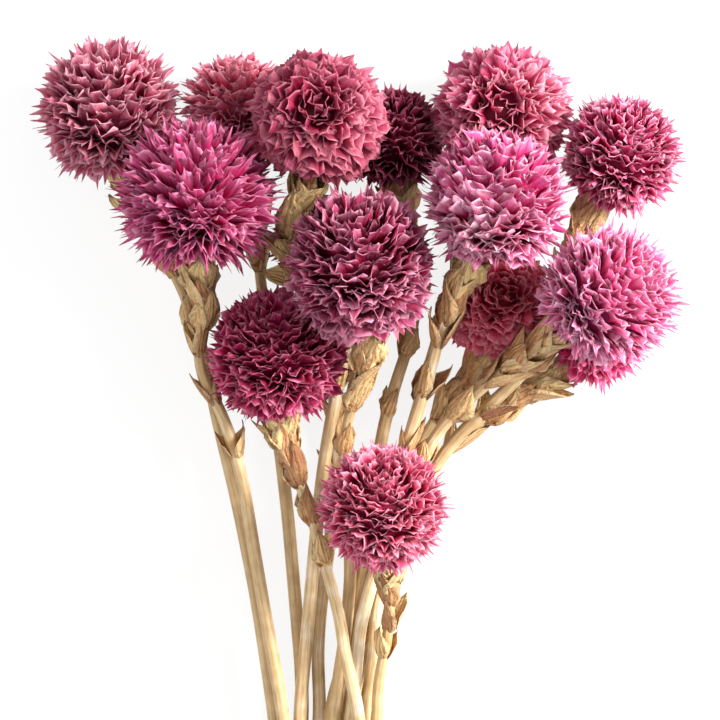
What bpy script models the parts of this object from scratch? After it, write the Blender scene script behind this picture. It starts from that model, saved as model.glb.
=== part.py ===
"""Dried globe amaranth: a tied bunch of fifteen stems, lying on its side on a flat surface.

Metres, +Z up. The bunch lies along Y with its flower heads towards +Y. The surface is z = 0,
and the origin is on it, under the middle of the bunch.

Each flower is two solids. The head is a globe of pointed papery bracts. The stem is a straw
with a cupped calyx under the head and dry sheath leaves down its upper part. A wound twine
ties the fifteen stems together.
"""

import math
import random

import bmesh
import bpy
import numpy as np
from mathutils import Matrix, Vector

MM = 0.001

# The straws.
STEM_RADIUS = 1.6 * MM
NECK_RADIUS = 1.15 * MM
NECK_LENGTH = 55 * MM
NECK_STRAIGHT = 3.5 * MM
STEM_CLEARANCE = 0.8 * MM
UPPER_RINGS = 11
LOWER_RINGS = 3
RING_CROWDING = 1.35

# The seat of a head on its straw, as shares of the head's radius.
SEAT_SHARE = 0.80
SEAT_ROOM = 0.85
SPOT_ROOM = 1.25
SEAT_GAP = 0.3 * MM

# The bracts of a head.
BRACTS = 98
VALLEY_SHARE = 0.79
UNDER_CALYX_SHARE = 0.86
CALYX_SHARE = 0.965
CALYX_ANGLE = math.radians(38)
BRACT_LEAN = 0.24
BRACT_UNEVENNESS = 0.06
AWN_REACH = 1.13
AWN_ROOM = 1 * MM
AWN_ANGLE = math.radians(46)
BRACT_STRAY = 0.1
SLIVER = 0.06 * MM
GOLDEN_ANGLE = math.pi * (3 - math.sqrt(5))

# The calyx, a cup of two leaves. Each row across a leaf has its angle from the straw in degrees,
# how far it stands off the globe of the bracts, and half its swing round the straw.
CALYX_ROWS = ((2.5, 3.4 * MM, 1.1), (11, 1.5 * MM, 0.95), (21, 0.4 * MM, 0.75))
CALYX_TIP = 31

# The sheath leaves of a straw. Each row across a leaf has its share of the length, its share of
# the width, and how far it stands off the straw as a share of the reach.
LEAF_THICKNESS = 0.7 * MM
SHEATH_LENGTH = 10.5 * MM
SHEATH_WIDTH = 5.0 * MM
SHEATH_ROWS = ((0.0, 0.55, 0.15), (0.3, 1.0, 0.75), (0.65, 0.8, 1.0))
SHEATH_REACH = 3.4 * MM
SHEATH_ROOT = 0.35 * MM
SHEATH_EDGE = 0.35
SHEATH_SHRINK = 0.1
SHEATH_SWING = 0.5
SHEATH_HEADROOM = 1.5 * MM
SHEATH_RINGS = (2, 3, 4, 5)
LEAFY_LENGTH = 40 * MM
LEAFY_ROOM = 2.7 * MM

# The tie, and the rows of straws in it. Each row is its height and the places of its straws.
TIE_Y = -51 * MM
TIE_CENTRE_X = -7.4 * MM
TWINE_RADIUS = 0.9 * MM
TWINE_GROOVE = 0.55
TIE_TURNS = 3
TIE_GAP = 0.3 * MM
TIE_ROWS = (
    (3.7 * MM, ("03", "15", "06", "12", "14")),
    (6.9 * MM, ("01", "04", "05", "08", "13", "11")),
    (10.1 * MM, ("02", "09", "07", "10")),
)
TIE_PITCH = 3.65 * MM
TIE_STRAIGHT = 4 * MM
TIE_STEPS = 20

# The cut ends of the straws.
END_Y = -149 * MM
END_SPREAD = 1.7
END_ROW_HEIGHTS = (1.6 * MM, 5.6 * MM, 9.8 * MM)
END_UNEVENNESS = 7 * MM

# The straws' routes are worked out on levels across the bunch, and settled against each other.
LEVEL_STEP = 2.5 * MM
SETTLING_STEPS = 500
GENTLE_FROM = 0.8
GENTLE = 0.15
STRAW_PUSH = 0.35
HEAD_PUSH = 0.6
SLANT_LIMIT = 1.6
STIFFNESS = 0.45
GUIDE_PULL = 0.02
GUIDE_SMOOTHING = 8


class Flower:
    """One stem of the bunch. Lengths are in millimetres here, and in metres once it is made."""

    def __init__(self, name, centre, radius, apex, colour, route, stretch=1.0, rests=False):
        self.name = name
        self.centre = Vector(centre) * MM
        self.radius = radius * MM
        self.apex = Vector(apex).normalized()
        self.colour = colour
        self.guides = [Vector(point) * MM for point in route]
        self.stretch = stretch
        self.rests = rests
        self.to_stem = (self.guides[0] - self.centre).normalized()

    def reach(self, direction):
        """The head's radius in a direction: some heads are longer along their own axis."""
        return self.radius * (1 + (self.stretch - 1) * direction.dot(self.apex) ** 2)

    def seat_distance(self):
        return self.reach(self.to_stem) * SEAT_SHARE

    def seed(self):
        return int(self.name)


ROSE = (0.47, 0.12, 0.19)
MAUVE = (0.40, 0.08, 0.20)
MAGENTA = (0.42, 0.05, 0.19)
BURGUNDY = (0.26, 0.02, 0.09)
PINK = (0.55, 0.10, 0.24)

FLOWERS = [
    Flower("01", (-58.0, 131.5, 16.5), 15.2, (-0.15, 0.35, 0.92), ROSE, [
        (-51, 108, 10.5), (-48.3, 102.8, 9), (-42.5, 93.6, 7), (-39, 85, 6), (-36.6, 76.4, 5.5),
        (-33, 59, 5.5), (-28.8, 42, 6), (-24.2, 19, 6.5), (-20, -8.7, 7)]),
    Flower("02", (-37.3, 111.5, 31.0), 16.5, (-0.10, 0.70, 0.70), MAGENTA, [
        (-37, 90.5, 23), (-35.7, 88, 21.5), (-34, 81, 19), (-31, 65, 15.5), (-27, 46.5, 13),
        (-25, 32.7, 12), (-21.9, 14.3, 11), (-17.7, -8.7, 10.3)]),
    Flower("03", (-28.5, 132.7, 11.6), 12.4, (-0.10, 0.85, 0.50), ROSE, [
        (-25.5, 111, 4.5), (-24.6, 108.5, 3.5), (-23.5, 94.8, 2.5), (-21.2, 76.4, 2),
        (-19, 55.7, 2), (-17, 39.6, 2.2), (-14.5, 12, 3), (-12, -8.7, 3.5)], rests=True),
    Flower("04", (-9.6, 128.8, 32.1), 14.7, (0.08, 0.30, 0.95), ROSE, [
        (-13.5, 107, 27), (-15, 104, 25), (-14.5, 95, 23.5), (-11, 86, 17), (-7, 79, 12.5),
        (-5.8, 69.5, 10.5), (-7.4, 58, 9.5), (-9, 46.5, 8.5), (-10.8, 28, 8), (-12.4, 9.7, 7.5),
        (-14.3, -8.7, 7.2)]),
    Flower("05", (7.8, 125.0, 11.2), 12.0, (0.10, 0.80, 0.55), BURGUNDY, [
        (10.5, 102, 6), (13.5, 92, 6), (13.5, 85.6, 6), (11.5, 77.5, 7), (8, 68.3, 8),
        (5, 56.8, 8.5), (2.3, 37.3, 8), (0.5, 21.2, 7.5), (-1.8, 7.4, 7), (-6.2, -8.7, 7)],
        rests=True),
    Flower("06", (32.8, 130.8, 15.2), 14.9, (0.10, 0.60, 0.78), PINK, [
        (30, 107, 7.5), (27, 100, 5), (21, 88, 3.5), (17.5, 77, 3.5), (14.5, 66, 3.5),
        (11.5, 55, 3.5), (8, 42, 3.5), (5, 30, 3.5), (1.5, 16, 3.5), (-3, 0, 3.6),
        (-5.6, -8.7, 3.7)]),
    Flower("07", (31.0, 110.4, 39.2), 16.1, (0.05, 0.30, 0.95), MAGENTA, [
        (23.5, 92, 29), (21.8, 89, 27), (18.4, 79.8, 23.5), (16, 69.5, 21), (12.7, 59, 19),
        (10.4, 53.4, 17.5), (5.8, 32.7, 16), (1.4, 18.2, 15), (-1.6, 5.8, 13.5),
        (-2.8, -8.7, 12.3)]),
    Flower("08", (60.0, 121.1, 22.6), 14.0, (0.20, 0.35, 0.92), PINK, [
        (50.5, 103, 17.5), (44.5, 90, 19), (40.5, 79, 21), (34, 69, 19.5), (25, 60, 14.5),
        (18.5, 53.5, 11), (14.5, 46.5, 10), (11, 38, 9.5), (7, 25, 8.5), (3, 12, 8),
        (-1.5, -2, 7.5), (-3.7, -8.7, 7.2)]),
    Flower("09", (0.0, 95.2, 37.0), 16.0, (0.05, 0.80, 0.60), MAUVE, [
        (2.3, 72, 26.5), (1.2, 70, 25), (-1.8, 65, 21), (-3.7, 58, 18.5), (-4.1, 46.5, 14),
        (-2.3, 32.7, 11), (-1.8, 19, 9.5), (-3.5, 5, 9), (-4.4, -8.7, 9.5)], stretch=1.13),
    Flower("10", (-18.9, 75.0, 20.1), 15.2, (-0.20, 0.35, 0.92), BURGUNDY, [
        (-17, 51, 14.5), (-14.6, 47, 14.5), (-11.5, 39, 14.5), (-8.5, 28, 14.5), (-4.6, 16, 14),
        (-1.6, 0.5, 13.5), (0, -8.7, 12)]),
    Flower("11", (5.3, 40.2, 34.5), 14.7, (-0.15, 0.30, 0.94), PINK, [
        (6.4, 21.2, 25), (7.4, 16.6, 21.5), (6.4, 9.7, 18.5), (4.5, 3.5, 16), (3.5, -1.8, 14.5),
        (3, -8.7, 12.5)]),
    Flower("12", (31.8, 87.0, 15.0), 12.4, (0.10, 0.30, 0.95), ROSE, [
        (28, 71, 9.5), (25.3, 69.5, 8.5), (19.5, 63.7, 7.3), (15, 56.8, 7), (11.5, 49, 7),
        (8.5, 40, 7), (6, 30, 6.5), (3, 18, 5.5), (-0.3, 3, 4.5), (-1.8, -8.7, 4)]),
    Flower("13", (56.7, 88.6, 37.5), 15.4, (0.60, 0.40, 0.70), MAUVE, [
        (43.5, 78.5, 28), (35.6, 73, 23.5), (30, 68.3, 20.5), (23, 62.6, 17.5),
        (17.3, 56.8, 15.5), (14.3, 50, 13.5), (11.5, 42, 12.5), (8.5, 33, 11.5), (4.5, 20, 10),
        (1.5, 5, 8.5), (0, -8.7, 7.5)]),
    Flower("14", (54.8, 79.3, 10.9), 11.7, (0.45, -0.10, 0.88), PINK, [
        (44, 69, 7), (41.4, 67.2, 6.5), (32.2, 62.6, 5.5), (24.2, 58, 4.5), (18.9, 53, 3.8),
        (14.5, 46, 3.6), (10.5, 37, 3.6), (7, 25, 3.6), (3.5, 8, 3.6), (1.4, -8.7, 3.7)],
        rests=True),
    Flower("15", (-10.1, 101.7, 10.4), 11.0, (-0.40, 0.50, 0.75), ROSE, [
        (-8.5, 86, 5), (-8, 83.3, 5), (-6.4, 67.2, 5), (-5.3, 55.7, 5), (-5.8, 42, 4.5),
        (-7.5, 28, 4.2), (-9.5, 15, 4), (-10.3, 3, 3.8), (-9.9, -8.7, 3.8)], rests=True),
]

STRAW = (0.60, 0.46, 0.26)
TWINE = (0.42, 0.29, 0.15)


def material(name, colour, roughness):
    made = bpy.data.materials.new(name)
    made.use_nodes = True
    shader = made.node_tree.nodes["Principled BSDF"]
    shader.inputs["Base Color"].default_value = (*colour, 1)
    shader.inputs["Roughness"].default_value = roughness
    shader.inputs["Metallic"].default_value = 0
    return made


def add_object(name, mesh_or_bmesh, surface=None):
    """Puts a mesh in the scene under a name. A bmesh is made a mesh first."""
    mesh = mesh_or_bmesh
    if isinstance(mesh_or_bmesh, bmesh.types.BMesh):
        mesh = bpy.data.meshes.new(name)
        mesh_or_bmesh.to_mesh(mesh)
        mesh_or_bmesh.free()
    if surface:
        mesh.materials.append(surface)
    made = bpy.data.objects.new(name, mesh)
    bpy.context.scene.collection.objects.link(made)
    return made


def tie_place(name):
    """Where a straw passes the tie, and where its cut end lies: each an (x, z) pair."""
    for (height, names), end_height in zip(TIE_ROWS, END_ROW_HEIGHTS):
        if name in names:
            sideways = (names.index(name) - (len(names) - 1) / 2) * TIE_PITCH
            end_x = TIE_CENTRE_X + sideways * END_SPREAD
            return (TIE_CENTRE_X + sideways, height), (end_x, end_height)
    raise ValueError(f"straw {name} has no place in the tie")


def clear_radius(below_neck):
    """The room that a straw needs round its centre line: more where it carries sheath leaves."""
    fade = np.clip((LEAFY_LENGTH - below_neck) / (0.2 * LEAFY_LENGTH), 0, 1)
    return STEM_RADIUS + fade * (LEAFY_ROOM - STEM_RADIUS)


def settled_routes():
    """The centre line of each straw, from its neck to its cut end, as {name: points}.

    Every straw runs down the bunch, so it is held as an x and a z at each level of y. It starts
    as a smooth line through its guide points. It then moves clear of the other straws, of the
    heads and of the surface, and bends evenly as it does so.
    """
    necks, firsts, rows = [], [], []
    for flower in FLOWERS:
        seat = flower.seat_distance() + SEAT_GAP
        necks.append(flower.centre + flower.to_stem * seat)
        firsts.append(flower.centre + flower.to_stem * (seat + NECK_STRAIGHT))
    levels = np.arange(max(p.y for p in firsts), END_Y - LEVEL_STEP / 2, -LEVEL_STEP)
    for flower, neck, first in zip(FLOWERS, necks, firsts):
        (tie_x, tie_z), (end_x, end_z) = tie_place(flower.name)
        line = [neck, first, *flower.guides]
        line += [Vector((tie_x, TIE_Y + side * TIE_STRAIGHT, tie_z)) for side in (1, -1)]
        line += [Vector((end_x, END_Y, end_z))]
        line = np.array(line)[::-1]
        rows.append([np.interp(levels, line[:, 1], line[:, axis]) for axis in (0, 2)])
    guide = np.array(rows).transpose(2, 0, 1)
    below = np.array([f.y for f in firsts])[None, :] - levels[:, None]
    grown = below >= 0
    free = grown & (np.abs(levels - TIE_Y) > TIE_STRAIGHT + LEVEL_STEP)[:, None]
    top = grown & ~np.roll(grown, 1, axis=0)
    inner = free & ~top
    inner[-1] = False
    for _ in range(GUIDE_SMOOTHING):
        mean = guide.copy()
        mean[1:-1] = (guide[:-2] + guide[2:]) / 2
        guide += (mean - guide) * 0.5 * inner[:, :, None]
    place = guide.copy()
    room = clear_radius(below)
    centres = np.array([f.centre for f in FLOWERS])
    head_radii = np.array([f.radius * max(1, f.stretch) for f in FLOWERS])
    own = np.eye(len(FLOWERS), dtype=bool)[None]
    both = grown[:, :, None] & grown[:, None, :] & ~own

    for step in range(SETTLING_STEPS):
        ease = 1 if step < SETTLING_STEPS * GENTLE_FROM else GENTLE
        strayed = place - guide
        mean = strayed.copy()
        mean[1:-1] = (strayed[:-2] + strayed[2:]) / 2
        moved = (mean - strayed) * STIFFNESS - strayed * GUIDE_PULL
        place += moved * inner[:, :, None] * ease

        slope = np.gradient(place[:, :, 0], axis=0) / LEVEL_STEP
        slant = np.sqrt(1 + np.maximum(np.abs(slope)[:, :, None], np.abs(slope)[:, None, :]) ** 2)
        apart = place[:, :, None, :] - place[:, None, :, :]
        distance = np.linalg.norm(apart, axis=3) + 1e-9
        wanted = room[:, :, None] + room[:, None, :] + STEM_CLEARANCE
        short = wanted * np.minimum(slant, SLANT_LIMIT) - distance
        push = np.where(both, np.clip(short, 0, None), 0) * STRAW_PUSH
        place += (apart / distance[..., None] * push[..., None]).sum(axis=2) * inner[:, :, None]

        keep = head_radii[None, None, :] + room[:, :, None] + STEM_CLEARANCE
        chord = keep**2 - (levels[:, None, None] - centres[None, None, :, 1]) ** 2
        apart = place[:, :, None, :] - centres[None, None, :, [0, 2]]
        distance = np.linalg.norm(apart, axis=3) + 1e-9
        short = np.sqrt(np.clip(chord, 0, None)) - distance
        push = np.where(grown[:, :, None] & ~own, np.clip(short, 0, None), 0) * HEAD_PUSH
        place += (apart / distance[..., None] * push[..., None]).sum(axis=2) * inner[:, :, None]
        place[:, :, 1] = np.maximum(place[:, :, 1], room)

    routes = {}
    for index, (flower, neck) in enumerate(zip(FLOWERS, necks)):
        uneven = random.Random(flower.seed()).uniform(0, END_UNEVENNESS)
        lasts = levels > END_Y + uneven
        used = grown[:, index] & lasts
        line = [neck, firsts[index]]
        line += [Vector((x, y, z)) for (x, z), y in zip(place[used, index], levels[used])][1:]
        routes[flower.name] = line
    return routes


def straw_rings(line):
    """Rings down a smooth curve through a line's points, as (distance, point).

    They are set closer near the neck, and the straw is straight between the two at the tie.
    """
    points = np.array(line)
    run = np.concatenate([[0], np.cumsum(np.linalg.norm(np.diff(points, axis=0), axis=1))])
    slopes = np.gradient(points, run, axis=0)
    above, below = np.interp([-TIE_Y - TIE_STRAIGHT, -TIE_Y + TIE_STRAIGHT], -points[:, 1], run)
    distances = [above * (ring / UPPER_RINGS) ** RING_CROWDING for ring in range(UPPER_RINGS + 1)]
    distances += [below + (run[-1] - below) * ring / LOWER_RINGS for ring in range(LOWER_RINGS + 1)]
    rings = []
    for distance in distances:
        index = min(int(np.searchsorted(run, distance, side="right")) - 1, len(run) - 2)
        span = run[index + 1] - run[index]
        t = (distance - run[index]) / span
        place = (
            points[index] * (2 * t**3 - 3 * t**2 + 1)
            + slopes[index] * span * (t**3 - 2 * t**2 + t)
            + points[index + 1] * (3 * t**2 - 2 * t**3)
            + slopes[index + 1] * span * (t**3 - t**2)
        )
        rings.append((distance, Vector(place)))
    return rings


def straw_radius(distance):
    """The straw is thin at the neck and full a little way down."""
    share = min(1, distance / NECK_LENGTH)
    return NECK_RADIUS + (STEM_RADIUS - NECK_RADIUS) * share


def make_straw(name, rings):
    """The bare straw, a bevelled curve made a mesh."""
    curve = bpy.data.curves.new(name, "CURVE")
    curve.dimensions = "3D"
    curve.bevel_depth = 1
    curve.bevel_resolution = 1
    curve.use_fill_caps = True
    spline = curve.splines.new("POLY")
    spline.points.add(len(rings) - 1)
    for point, (distance, place) in zip(spline.points, rings):
        point.co = (*place, 1)
        point.radius = straw_radius(distance)
    helper = bpy.data.objects.new(name, curve)
    bpy.context.scene.collection.objects.link(helper)
    graph = bpy.context.evaluated_depsgraph_get()
    mesh = bpy.data.meshes.new_from_object(helper.evaluated_get(graph))
    bpy.data.objects.remove(helper)
    bm = bmesh.new()
    bm.from_mesh(mesh)
    bmesh.ops.remove_doubles(bm, verts=bm.verts, dist=0.001 * MM)
    bmesh.ops.recalc_face_normals(bm, faces=bm.faces)
    return bm


def leaf_blade(outer, inner):
    """A closed pointed blade from two skins, each rows of three points that end in one tip."""
    bm = bmesh.new()
    skins = [[[bm.verts.new(p) for p in row] for row in skin[:-1]] for skin in (outer, inner)]
    tip = bm.verts.new(outer[-1][0])
    for skin in skins:
        for lower, upper in zip(skin, skin[1:]):
            for side in (0, 1):
                bm.faces.new([lower[side], lower[side + 1], upper[side + 1], upper[side]])
        for side in (0, 1):
            bm.faces.new([skin[-1][side], skin[-1][side + 1], tip])
    front, back = skins
    for side in (0, 1):
        bm.faces.new([front[0][side], front[0][side + 1], back[0][side + 1], back[0][side]])
    for edge in (0, 2):
        for row in range(len(front) - 1):
            bm.faces.new([front[row][edge], front[row + 1][edge], back[row + 1][edge], back[row][edge]])
        bm.faces.new([front[-1][edge], tip, back[-1][edge]])
    bmesh.ops.triangulate(bm, faces=bm.faces)
    bmesh.ops.recalc_face_normals(bm, faces=bm.faces)
    return bm


def sheath_leaf(root, heading, outward, radius, size):
    """A dry leaf that clasps the straw at its root and stands a little off it at its tip."""
    across = heading.cross(outward).normalized()
    outer, inner = [], []
    for share, width, stand in SHEATH_ROWS:
        middle = root + heading * (SHEATH_LENGTH * size * share)
        half = SHEATH_WIDTH * size * width / 2
        lift = radius + stand * (SHEATH_REACH - STEM_RADIUS)
        below = lift - LEAF_THICKNESS - (0 if share else SHEATH_ROOT)
        for skin, depth in ((outer, lift), (inner, below)):
            heights = (depth * SHEATH_EDGE, depth, depth * SHEATH_EDGE)
            skin.append([middle + across * (half * side) + outward * height
                         for side, height in zip((-1, 0, 1), heights)])
    tip = root + heading * (SHEATH_LENGTH * size) + outward * SHEATH_REACH
    outer.append([tip])
    inner.append([tip])
    return leaf_blade(outer, inner)


def calyx_leaf(flower, turn):
    """One of the two dry leaves that make a cup under a head, just outside its bracts."""
    axis = flower.to_stem
    sideways = axis.orthogonal().normalized()
    sideways.rotate(Matrix.Rotation(turn, 3, axis))
    other = axis.cross(sideways)
    globe = flower.reach(axis) * CALYX_SHARE

    def cup_point(angle, swing, distance):
        out = sideways * math.cos(swing) + other * math.sin(swing)
        return flower.centre + (axis * math.cos(angle) + out * math.sin(angle)) * distance

    outer, inner = [], []
    for degrees, proud, half_swing in CALYX_ROWS:
        swings = (-half_swing, 0, half_swing)
        for skin, depth in ((outer, 0), (inner, LEAF_THICKNESS)):
            distance = globe + proud - depth
            skin.append([cup_point(math.radians(degrees), swing, distance) for swing in swings])
    tip = cup_point(math.radians(CALYX_TIP), 0, globe)
    outer.append([tip])
    inner.append([tip])
    return leaf_blade(outer, inner)


def make_stem(flower, line, surface):
    """The straw with its calyx and sheath leaves, joined in one solid."""
    name = f"stem_{flower.name}"
    chance = random.Random(100 + flower.seed())
    rings = straw_rings(line)
    stem = add_object(name, make_straw(name, rings), surface)
    leaves = bpy.data.collections.new(name + "_leaves")
    bpy.context.scene.collection.children.link(leaves)

    blades = []
    turn = chance.uniform(0, math.pi)
    for side in (0, 1):
        blades.append(calyx_leaf(flower, turn + math.pi * side))
    swing = chance.uniform(0, 2 * math.pi)
    for index, ring in enumerate(SHEATH_RINGS):
        (distance, root), (_, ahead) = rings[ring], rings[ring - 1]
        heading = (ahead - root).normalized()
        outward = heading.orthogonal().normalized()
        outward.rotate(Matrix.Rotation(swing, 3, heading))
        swing += math.pi + chance.uniform(-SHEATH_SWING, SHEATH_SWING)
        size = min(1 - SHEATH_SHRINK * index, (distance - SHEATH_HEADROOM) / SHEATH_LENGTH)
        blades.append(sheath_leaf(root, heading, outward, straw_radius(distance), size))
    for index, blade in enumerate(blades):
        helper = add_object(f"{name}_leaf_{index}", blade)
        bpy.context.scene.collection.objects.unlink(helper)
        leaves.objects.link(helper)

    union = stem.modifiers.new("leaves", "BOOLEAN")
    union.operation = "UNION"
    union.operand_type = "COLLECTION"
    union.collection = leaves
    union.solver = "MANIFOLD"
    bpy.context.view_layer.objects.active = stem
    with bpy.context.temp_override(object=stem, active_object=stem):
        bpy.ops.object.modifier_apply(modifier=union.name)
    for helper in list(leaves.objects):
        bpy.data.objects.remove(helper)
    bpy.data.collections.remove(leaves)
    return stem


def bract_directions(flower):
    """Where the bracts stand on the globe: a spiral from the apex, opened for the flat spots."""
    chance = random.Random(200 + flower.seed())
    seat = flower.to_stem.copy().freeze()
    spot = Vector((0, 0, -1)).freeze()
    flats = {seat: flower.seat_distance()}
    room = {seat: SEAT_ROOM}
    if flower.rests:
        flats[spot] = flower.centre.z
        room[spot] = SPOT_ROOM
    turn = Vector((0, 0, 1)).rotation_difference(flower.apex)
    pitch = math.sqrt(4 * math.pi / BRACTS)
    found = []
    for index in range(BRACTS):
        height = 1 - 2 * (index + 0.5) / BRACTS
        swing = index * GOLDEN_ANGLE
        out = math.sqrt(1 - height**2)
        direction = turn @ Vector((out * math.cos(swing), out * math.sin(swing), height))
        direction += Vector([chance.uniform(-1, 1) * BRACT_STRAY * pitch for _ in range(3)])
        direction.normalize()
        if all(direction.angle(flat) > pitch * room[flat] for flat in flats):
            found.append(direction)
    return found, flats


def faces_round(vert):
    """The triangles of a closed net round one of its points, in turn."""
    first = vert.link_loops[0]
    turn = [first.face]
    loop = first.link_loop_prev.link_loop_radial_next
    while loop != first:
        turn.append(loop.face)
        loop = loop.link_loop_prev.link_loop_radial_next
    return turn


def stands_free(flower, tip, routes):
    """Whether a bract's stiff point can stand out in full, with nothing else near it."""
    if tip.z < AWN_ROOM or (tip - flower.centre).angle(flower.to_stem) < AWN_ANGLE:
        return False
    for other in FLOWERS:
        if other is not flower:
            if (tip - other.centre).length < other.radius * AWN_REACH + AWN_ROOM:
                return False
    straws = np.concatenate([np.array(line) for line in routes.values()])
    return np.linalg.norm(straws - np.array(tip), axis=1).min() > SHEATH_REACH + AWN_ROOM


def make_head(flower, routes, surface):
    """A globe covered in pointed bracts.

    The bracts' places are joined into a net of triangles. The middle of each triangle is a
    valley point, and each bract is a spike that rises from its ring of valley points and leans
    towards the apex. A flat spot is a ring with no spike: the seat on the straw, and the spot
    that the head lies on. A spike is longer by its stiff point where that has room.
    """
    chance = random.Random(300 + flower.seed())
    places, flats = bract_directions(flower)
    net = bmesh.new()
    for direction in [*places, *flats]:
        net.verts.new(direction)
    bmesh.ops.convex_hull(net, input=net.verts)
    bmesh.ops.recalc_face_normals(net, faces=net.faces)
    net.normal_update()

    bm = bmesh.new()
    valleys = {}
    for face in net.faces:
        out = face.normal
        valleys[face] = bm.verts.new(flower.centre + out * flower.reach(out) * VALLEY_SHARE)
    for vert in net.verts:
        direction = vert.co.normalized()
        ring = [valleys[face] for face in faces_round(vert)]
        flat = next((f for f in flats if f.angle(direction) < 1e-3), None)
        if flat is not None:
            for valley in ring:
                short = flats[flat] - (valley.co - flower.centre).dot(flat)
                valley.co += flat * short
            bm.faces.new(ring)
            continue
        sideways = flower.apex - direction * flower.apex.dot(direction)
        lean = (direction + sideways * BRACT_LEAN).normalized()
        reach = flower.reach(lean) * (1 - chance.uniform(0, BRACT_UNEVENNESS))
        if direction.angle(flower.to_stem) < CALYX_ANGLE:
            reach = flower.reach(lean) * UNDER_CALYX_SHARE
        elif stands_free(flower, flower.centre + lean * reach * AWN_REACH, routes):
            reach *= AWN_REACH
        tip = bm.verts.new(flower.centre + lean * reach)
        for index, valley in enumerate(ring):
            bm.faces.new([valley, ring[(index + 1) % len(ring)], tip])
    net.free()
    for vert in bm.verts:
        vert.co.z = max(vert.co.z, 0)
    bmesh.ops.remove_doubles(bm, verts=bm.verts, dist=SLIVER)
    bmesh.ops.recalc_face_normals(bm, faces=bm.faces)
    return add_object(f"head_{flower.name}", bm, surface)


def tie_outline(stand_off):
    """Points round the tied straws, at a distance from their centre lines."""
    corners = []
    for height, names in TIE_ROWS:
        half = (len(names) - 1) / 2 * TIE_PITCH
        corners += [Vector((TIE_CENTRE_X + side * half, height)) for side in (-1, 1)]
    outline = []
    for step in range(TIE_STEPS):
        angle = 2 * math.pi * step / TIE_STEPS
        out = Vector((math.cos(angle), math.sin(angle)))
        outline.append(max(corners, key=out.dot) + out * stand_off)
    return outline


def make_tie(surface):
    """The twine, as one ring with a ridge for each turn round the straws."""
    inside = STEM_RADIUS + TIE_GAP
    half = TIE_TURNS * TWINE_RADIUS
    profile = [(-half, inside), (half, inside)]
    for index in range(2 * TIE_TURNS + 1):
        thick = 2 * TWINE_RADIUS * (1 if index % 2 else TWINE_GROOVE)
        profile.append((half - index * TWINE_RADIUS, inside + thick))
    bm = bmesh.new()
    rings = []
    for offset, stand_off in profile:
        outline = tie_outline(stand_off)
        rings.append([bm.verts.new((point.x, TIE_Y + offset, point.y)) for point in outline])
    for ring, following in zip(rings, rings[1:] + rings[:1]):
        for step in range(TIE_STEPS):
            after = (step + 1) % TIE_STEPS
            bm.faces.new([ring[step], ring[after], following[after], following[step]])
    bmesh.ops.recalc_face_normals(bm, faces=bm.faces)
    return add_object("tie", bm, surface)


def main():
    for old in list(bpy.data.objects):
        bpy.data.objects.remove(old)
    straw = material("straw", STRAW, 0.7)
    routes = settled_routes()
    for flower in FLOWERS:
        make_stem(flower, routes[flower.name], straw)
        make_head(flower, routes, material(f"bracts_{flower.name}", flower.colour, 0.65))
    make_tie(material("twine", TWINE, 0.85))


main()
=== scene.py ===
import math
import random

import bmesh
import bpy
import numpy as np
from mathutils import Matrix, Vector


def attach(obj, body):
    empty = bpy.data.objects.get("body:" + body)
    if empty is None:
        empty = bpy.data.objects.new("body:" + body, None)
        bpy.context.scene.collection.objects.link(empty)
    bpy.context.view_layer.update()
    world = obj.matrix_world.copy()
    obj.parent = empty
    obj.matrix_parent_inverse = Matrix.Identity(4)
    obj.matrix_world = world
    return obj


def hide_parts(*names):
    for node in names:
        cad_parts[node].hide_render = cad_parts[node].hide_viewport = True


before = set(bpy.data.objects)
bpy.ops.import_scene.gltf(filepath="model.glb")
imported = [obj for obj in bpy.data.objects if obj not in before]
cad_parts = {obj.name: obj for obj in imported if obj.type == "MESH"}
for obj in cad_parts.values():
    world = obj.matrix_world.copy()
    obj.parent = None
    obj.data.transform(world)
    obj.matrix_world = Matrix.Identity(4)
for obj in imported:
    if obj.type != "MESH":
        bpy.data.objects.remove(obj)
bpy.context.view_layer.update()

# The straws: fifteen dried flower stems, each a ribbed stalk about 3 mm thick that thins towards its
# head. They were gathered, cut to about one length and tied, so each bends past the others. Their
# routes are settled by the solids' rule, from the same guide points in millimetres.
MM = 0.001
STEM_RADIUS = 1.6 * MM
NECK_RADIUS = 1.15 * MM
NECK_LENGTH = 55 * MM
NECK_STRAIGHT = 3.5 * MM
STEM_CLEARANCE = 0.8 * MM
SEAT_SHARE = 0.80
SEAT_GAP = 0.3 * MM
LEAFY_LENGTH = 40 * MM
LEAFY_ROOM = 2.7 * MM
LEAFY_FADE = 0.2
TIE_Y = -51 * MM
TIE_CENTRE_X = -7.4 * MM
TIE_ROWS = (
    (3.7 * MM, ("03", "15", "06", "12", "14")),
    (6.9 * MM, ("01", "04", "05", "08", "13", "11")),
    (10.1 * MM, ("02", "09", "07", "10")),
)
TIE_PITCH = 3.65 * MM
TIE_STRAIGHT = 4 * MM
END_Y = -149 * MM
END_SPREAD = 1.7
END_ROW_HEIGHTS = (1.6 * MM, 5.6 * MM, 9.8 * MM)
END_UNEVENNESS = 7 * MM
LEVEL_STEP = 2.5 * MM
SETTLING_STEPS = 500
GENTLE_FROM = 0.8
GENTLE = 0.15
STRAW_PUSH = 0.35
HEAD_PUSH = 0.6
SLANT_LIMIT = 1.6
STIFFNESS = 0.45
GUIDE_PULL = 0.02
GUIDE_SMOOTHING = 8
NEVER_ZERO = 1e-9


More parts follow.
